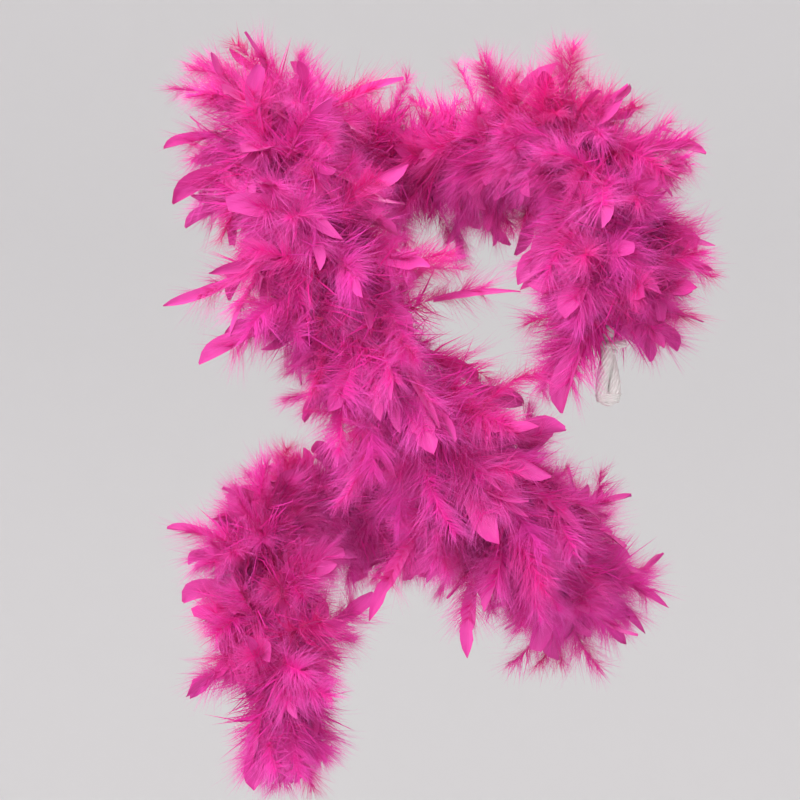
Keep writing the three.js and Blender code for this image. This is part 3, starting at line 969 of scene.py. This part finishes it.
# %% [markdown]
# A quill bends little at its root and more to its tip, so its angle grows along it. It becomes a row of
# points, eight steps long, and at each step the feather has a direction across it, in which the barbs
# lie, and one out of its plane. No quill reaches past the frame's box, where the wearer's arms and the
# air hold the feathers in: one that would is made shorter.

# %% Every feather's quill as a curve, with the directions along and across it
QUILL_STEPS = 8
QUILL_ROOT = 0.0035
TIP_MARGIN = 0.004
SHORTEST_SHARE = 0.3
BEND_GROWTH, SIDE_SWAY, ROLL = 1.2, 0.35, 0.4
CLUMPS = 20

share = np.linspace(0, 1, QUILL_STEPS + 1)
angle = (bend_from[:, None] + (bend_until - bend_from)[:, None] * share**BEND_GROWTH)[..., None]
direction = start_way[:, None] * np.cos(angle) + bends_to[:, None] * np.sin(angle)
sideways = np.cross(start_way, bends_to)[:, None] * rng.normal(0, SIDE_SWAY, count)[:, None, None]
direction = unit(direction + sideways * share[:, None])
middle_way = unit(direction[:, 1:] + direction[:, :-1])
steps_out = np.cumsum(middle_way * length[:, None, None] / QUILL_STEPS, axis=1)
steps_out = np.concatenate([np.zeros((count, 1, 3)), steps_out], axis=1)

lowest, highest = (np.array(corner) for corner in CAD_BOX)
root = centre + radial * QUILL_ROOT
tip_way = steps_out[:, -1]
room = np.where(tip_way > 0, highest - TIP_MARGIN - root, root - lowest - TIP_MARGIN)
fit = np.clip(room / np.maximum(np.abs(tip_way), 1e-6), SHORTEST_SHARE, 1).min(axis=1)
length *= fit
quill = root[:, None] + steps_out * fit[:, None, None]

flat = square_to(direction, faces_to[:, None])
across_feather = np.cross(direction, flat)
roll = (rng.normal(0, ROLL, count)[:, None] * share)[..., None]
side_way = across_feather * np.cos(roll) + flat * np.sin(roll)
flat_way = np.cross(side_way, direction)
tone = rng.random(count)
clump_way = rng.normal(0, 1, (count, 2, CLUMPS, 3))
clump_open = rng.normal(0, 1, (count, 2, CLUMPS))
print("quills shortened to fit the box", int((fit < 1).sum()))

# %% [markdown]
# ## Down
# The lower part of each feather is down: loose barbs on both sides of the quill, each a fine ribbon
# that narrows to a point and curves to the tip of the feather. They lie in the plane of the feather,
# and those that start beside each other cling together in clumps. Hair curves would be quicker to make,
# but the barbs are made as meshes. They are computed in three layers for all the feathers of a section at
# once. Broad ones in all directions fill the middle of the boa and hide the cord, middling ones make
# its body, and the finest are the halo at the outline.

# %% The layers of down
# For each layer: barbs to a feather, where on the quill they start, their width and length in metres,
# how far they stand out of the feather's plane, the angle in degrees that they open to the quill at its
# root, and how far they go along the colour's range from the deep root to the pale tip, which is partly
# dye and partly painted shade and highlight: the broad layer inside stays deeper, the halo reaches the
# pale tips.
DOWN_LAYERS = (
    (50, (0.0, 0.40), 0.0020, 0.032, 1.0, 80, 0.24),
    (220, (0.10, 0.94), 0.00052, 0.027, 0.45, 74, 0.44),
    (280, (0.30, 1.00), 0.00030, 0.029, 0.45, 68, 0.47),
)
BARBS_SHARE = 1.0
print("barbs to a feather", sum(number for number, *_ in DOWN_LAYERS))


def along_quills(table, which, place):
    """Values of a per-step table at places 0 to 1 along the quills of the feathers `which`."""
    at = np.clip(place, 0, 1) * QUILL_STEPS
    step = np.minimum(at.astype(int), QUILL_STEPS - 1)
    part = (at - step)[..., None]
    rows = which[:, None]
    return table[rows, step] * (1 - part) + table[rows, step + 1] * part


# %% [markdown]
# A ribbon has only two faces, so all of its look comes from the way it faces. If the ribbons faced in
# all directions, the down would glitter like grass. Each faces mostly away from the cord, as if it lay
# on the round outside of the boa, and so the mass shades softly as one body.

# %% The barbs
BARB_SHARES = np.array([0.0, 0.5, 1.0])
BARB_WIDTHS = np.array([1.0, 0.85])
DOWN_BELOW_VANE = 0.78
TIP_CROWDING = 0.85
OPEN_IN_MIDDLE, OPEN_AT_TIP, OPEN_BY_CLUMP, OPEN_BY_BARB = 60, 42, 14, 6
TAPER = ((0, 0.25, 0.7, 1.0), (0.8, 1.0, 0.9, 0.45))
REACH = (0.55, 1.2)
BARB_CURL, CURL_AHEAD, CURL_DOWN, CURL_BY_CLUMP, CURL_BY_BARB = 0.8, 0.9, 0.25, 0.55, 0.22
CURL_BY_LOFT = 0.4
FACE_PLANE, FACING_SPREAD = 0.5, 0.22
TONE_EDGE, TONE_RANGE, BARB_TONE_SPREAD = 0.04, 0.92, 0.07
# Where a barb starts on the colour range, by its place on the quill: barbs near the quill's root start
# deepest, in painted shade.
DYE_AND_PAINTED_LIGHT_START = ((0, 0.6), (0.02, 0.12))
MAP_HALF_WIDTH = 0.01


def barbs(which, draw, number, places, width, size, loft, open_at_root, dye_and_painted_light_end):
    """Ribbons of two pairs of corners and a point, on both sides of each quill."""
    shape = (len(which), int(number * BARBS_SHARE))
    first, last = places
    last = np.where(has_vane[which][:, None], min(last, DOWN_BELOW_VANE), last)
    place = first + (last - first) * draw.random(shape) ** TIP_CROWDING
    hand = (draw.random(shape) < 0.5).astype(int)
    sign = (2.0 * hand - 1.0)[..., None]
    clump = (which[:, None], hand, (place * (CLUMPS - 0.01)).astype(int))
    root = along_quills(quill, which, place)
    ahead = unit(along_quills(direction, which, place))
    beside = unit(along_quills(side_way, which, place)) * sign
    above = np.cross(ahead, beside) * sign

    opening = np.interp(place, (0, 0.5, 1.0), (open_at_root, OPEN_IN_MIDDLE, OPEN_AT_TIP))
    opening = opening + OPEN_BY_CLUMP * clump_open[clump] + draw.normal(0, OPEN_BY_BARB, shape)
    opening = np.radians(opening)[..., None]
    stand = draw.normal(0, 1, shape)[..., None] * loft
    way_out = unit(ahead * np.cos(opening) + beside * np.sin(opening) + above * stand)
    reach = (size * np.interp(place, *TAPER) * draw.uniform(*REACH, shape))[..., None]
    curl = unit(
        CURL_AHEAD * ahead
        + CURL_DOWN * DOWN
        + CURL_BY_CLUMP * clump_way[clump]
        + draw.normal(0, CURL_BY_BARB + CURL_BY_LOFT * loft, (*shape, 3))
    )
    outward = square_to(cord_way[which][:, None], root - centre[which][:, None])
    facing = outward + FACE_PLANE * along_quills(flat_way, which, place)
    facing = facing + draw.normal(0, FACING_SPREAD, (*shape, 3))
    across = unit(np.cross(facing, way_out)) * width / 2

    line = [root + reach * (way_out * t + curl * BARB_CURL * t**2) for t in BARB_SHARES]
    corners = []
    for spine, wide in zip(line, BARB_WIDTHS):
        corners += [spine - across * wide, spine + across * wide]
    corners.append(line[-1])
    points = np.stack(corners, axis=2).reshape(-1, 3)
    start = np.arange(shape[0] * shape[1])[:, None] * len(corners)
    faces = [start + np.array([[0, 1, 3, 2]]), start + np.array([[2, 3, 4]])]

    v = np.clip(tone[which][:, None] + draw.normal(0, BARB_TONE_SPREAD, shape), 0, 1)
    v = (TONE_EDGE + TONE_RANGE * v).reshape(-1, 1)
    # Along each barb the colour runs from deep to pale: partly dye, partly painted shade near the cord and
    # a painted highlight at the tip.
    dye_and_painted_light_start = np.interp(place, *DYE_AND_PAINTED_LIGHT_START).reshape(-1, 1)
    u = dye_and_painted_light_start + (dye_and_painted_light_end - dye_and_painted_light_start) * np.append(np.repeat(BARB_SHARES[:2], 2), 1.0)[None]
    edge = MAP_HALF_WIDTH * np.array([[-1, 1, -1, 1, 0]])
    return points, faces, np.stack([u, v + edge], axis=2).reshape(-1, 2)


# %% [markdown]
# ## Quills
# A quill is a stiff hollow stem that tapers to nothing. At this size three sides are enough, and the
# stems of a whole section are again one set of arrays.

# %% The quills
QUILL_RADIUS, QUILL_TIP_RADIUS, QUILL_SIDES = 0.00055, 0.00014, 3
# A quill's colour also runs from deep at its root to pale at its tip: partly dye, partly painted shade and
# highlight.
QUILL_MAP_START, QUILL_MAP_LENGTH = 0.02, 0.45


def quills(which):
    """Tapering stems with closed ends."""
    line = quill[which]
    number = len(which)
    radius = np.linspace(QUILL_RADIUS, QUILL_TIP_RADIUS, QUILL_STEPS + 1)[None, :, None]
    corners = []
    for k in range(QUILL_SIDES):
        a = 2 * math.pi * k / QUILL_SIDES
        corners.append(line + radius * (side_way[which] * math.cos(a) + flat_way[which] * math.sin(a)))
    points = np.stack(corners, axis=2).reshape(-1, 3)
    per = QUILL_SIDES * (QUILL_STEPS + 1)
    ring = []
    for first in range(0, per - QUILL_SIDES, QUILL_SIDES):
        for k in range(QUILL_SIDES):
            here, beside = first + k, first + (k + 1) % QUILL_SIDES
            ring.append((here, beside, beside + QUILL_SIDES, here + QUILL_SIDES))
    start = (np.arange(number) * per)[:, None]
    faces = [
        (start[:, None] + np.array(ring)[None]).reshape(-1, 4),
        start + np.array([[2, 1, 0]]),
        start + per - QUILL_SIDES + np.array([[0, 1, 2]]),
    ]
    u = np.repeat(QUILL_MAP_START + QUILL_MAP_LENGTH * share, QUILL_SIDES)
    v = np.repeat(TONE_EDGE + TONE_RANGE * tone[which], per)
    edge = MAP_HALF_WIDTH * np.tile([-1, 0, 1], number * (QUILL_STEPS + 1))
    return points, faces, np.stack([np.tile(u, number), v + edge], axis=1)


# %% [markdown]
# ## Vanes
# Each feather that has one gets a copy of a master vane. A Curve modifier would bend a copy along its
# quill, but with hundreds of them it would be slow, so the copy's points are placed along the quill by
# the directions already found. Each has its own width, depth and twist.

# %% The vanes
VANE_START, VANE_END = (0.42, 0.60), 1.03
VANE_WIDTH = (0.0050, 0.0100)
VANE_RISE, VANE_TWIST = (0.3, 1.3), 0.35
VANE_TONE_EDGE, VANE_TONE_RANGE, VANE_TONE_SPREAD, VANE_EDGE_TONE = 0.05, 0.80, 0.05, 0.03
# Vanes take the pale outer part of the colour range, which is partly dye and partly a painted highlight.
VANE_MAP_START, VANE_MAP_LENGTH = 0.5, 0.48


def vanes(which, seed):
    """A copy of a master vane bent along the outer part of each quill."""
    draw = np.random.default_rng(seed)
    parts = []
    for f in which[has_vane[which]]:
        points, faces = VANES[draw.integers(len(VANES))]
        start = draw.uniform(*VANE_START)
        width = draw.uniform(*VANE_WIDTH)
        at = start + (VANE_END - start) * points[:, 0]
        one = np.array([f])
        base = along_quills(quill, one, np.minimum(at, 1.0)[None])[0]
        beside = unit(along_quills(side_way, one, at[None])[0])
        above = unit(along_quills(flat_way, one, at[None])[0])
        past = np.maximum(at - 1.0, 0)[:, None] * length[f] * direction[f, -1]
        twist = draw.normal(0, VANE_TWIST) * points[:, :1] * points[:, 1:2]
        rise = points[:, 2:3] * draw.uniform(*VANE_RISE) + twist
        placed = base + past + beside * points[:, 1:2] * width + above * rise * width
        vane_tone = np.clip(tone[f] + draw.normal(0, VANE_TONE_SPREAD), 0, 1)
        u = VANE_MAP_START + VANE_MAP_LENGTH * points[:, 0]
        v = VANE_TONE_EDGE + VANE_TONE_RANGE * vane_tone + VANE_EDGE_TONE * np.abs(points[:, 1])
        parts.append((placed, [faces], np.stack([u, v], axis=1)))
    return joined(parts)


# %% [markdown]
# ## The sections of the boa
# The feathers are joined into sections of a few tufts. One mesh for all would be too heavy to handle,
# and one for each feather too many. A section that lies where a tail swings rides on no body, and the
# rest ride on theirs. Each stands for the CAD tufts that it covers.

# %% Where the sections begin and end
BEND_REACH = 0.045
DRAPE_SECTIONS = 10
tuft_nodes = sorted(name for name in frame["nodes"] if name.startswith("feather_tuft_"))
tuft_at = np.array([nearest_run(middle_of(name)) for name in tuft_nodes])
body_nodes = frame["record"]["behaviour"]["bodies"]
limits = [0.0, SHOULDER_BEND - BEND_REACH, SHOULDER_BEND + BEND_REACH]
limits += list(np.linspace(limits[-1], HIP_BEND - BEND_REACH, DRAPE_SECTIONS + 1)[1:])
limits += [HIP_BEND + BEND_REACH, LENGTH + 0.01]
names = ["front_tail", "shoulder_bend"]
names += [f"drape_{k + 1}" for k in range(DRAPE_SECTIONS)]
names += ["hip_bend", "hip_tail"]
print("sections", len(names), "for", len(tuft_nodes), "tufts")

# %% Build the sections
FIRST_DOWN_SEED, FIRST_VANE_SEED = 100, 200
all_triangles = 0
for k, (name, low, high) in enumerate(zip(names, limits, limits[1:])):
    which = np.flatnonzero((spot >= low) & (spot < high))
    draw = np.random.default_rng(FIRST_DOWN_SEED + k)
    down = joined([barbs(which, draw, *layer) for layer in DOWN_LAYERS])
    parts = [down, quills(which), vanes(which, FIRST_VANE_SEED + k)]
    points, faces, places = joined(parts)
    slots = np.repeat(np.arange(3), [sum(len(block) for block in part[1]) for part in parts])
    piece = mesh_piece(
        f"feathers_{name}", points, faces, places, [down_material, quill_material, vane_material], slots
    )
    covered = [n for n, at in zip(tuft_nodes, tuft_at) if low <= at < high]
    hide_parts(*covered)
    if name == "shoulder_bend":
        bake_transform(piece)
    elif name == "hip_bend":
        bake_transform(piece)
    else:
        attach(piece, name if name in body_nodes else "drape")
    triangles = sum(len(block) * (block.shape[1] - 2) for block in faces)
    all_triangles += triangles
    print(name, "feathers", len(which), "triangles", triangles, "covers", len(covered))
print("triangles in all the feathers", all_triangles)
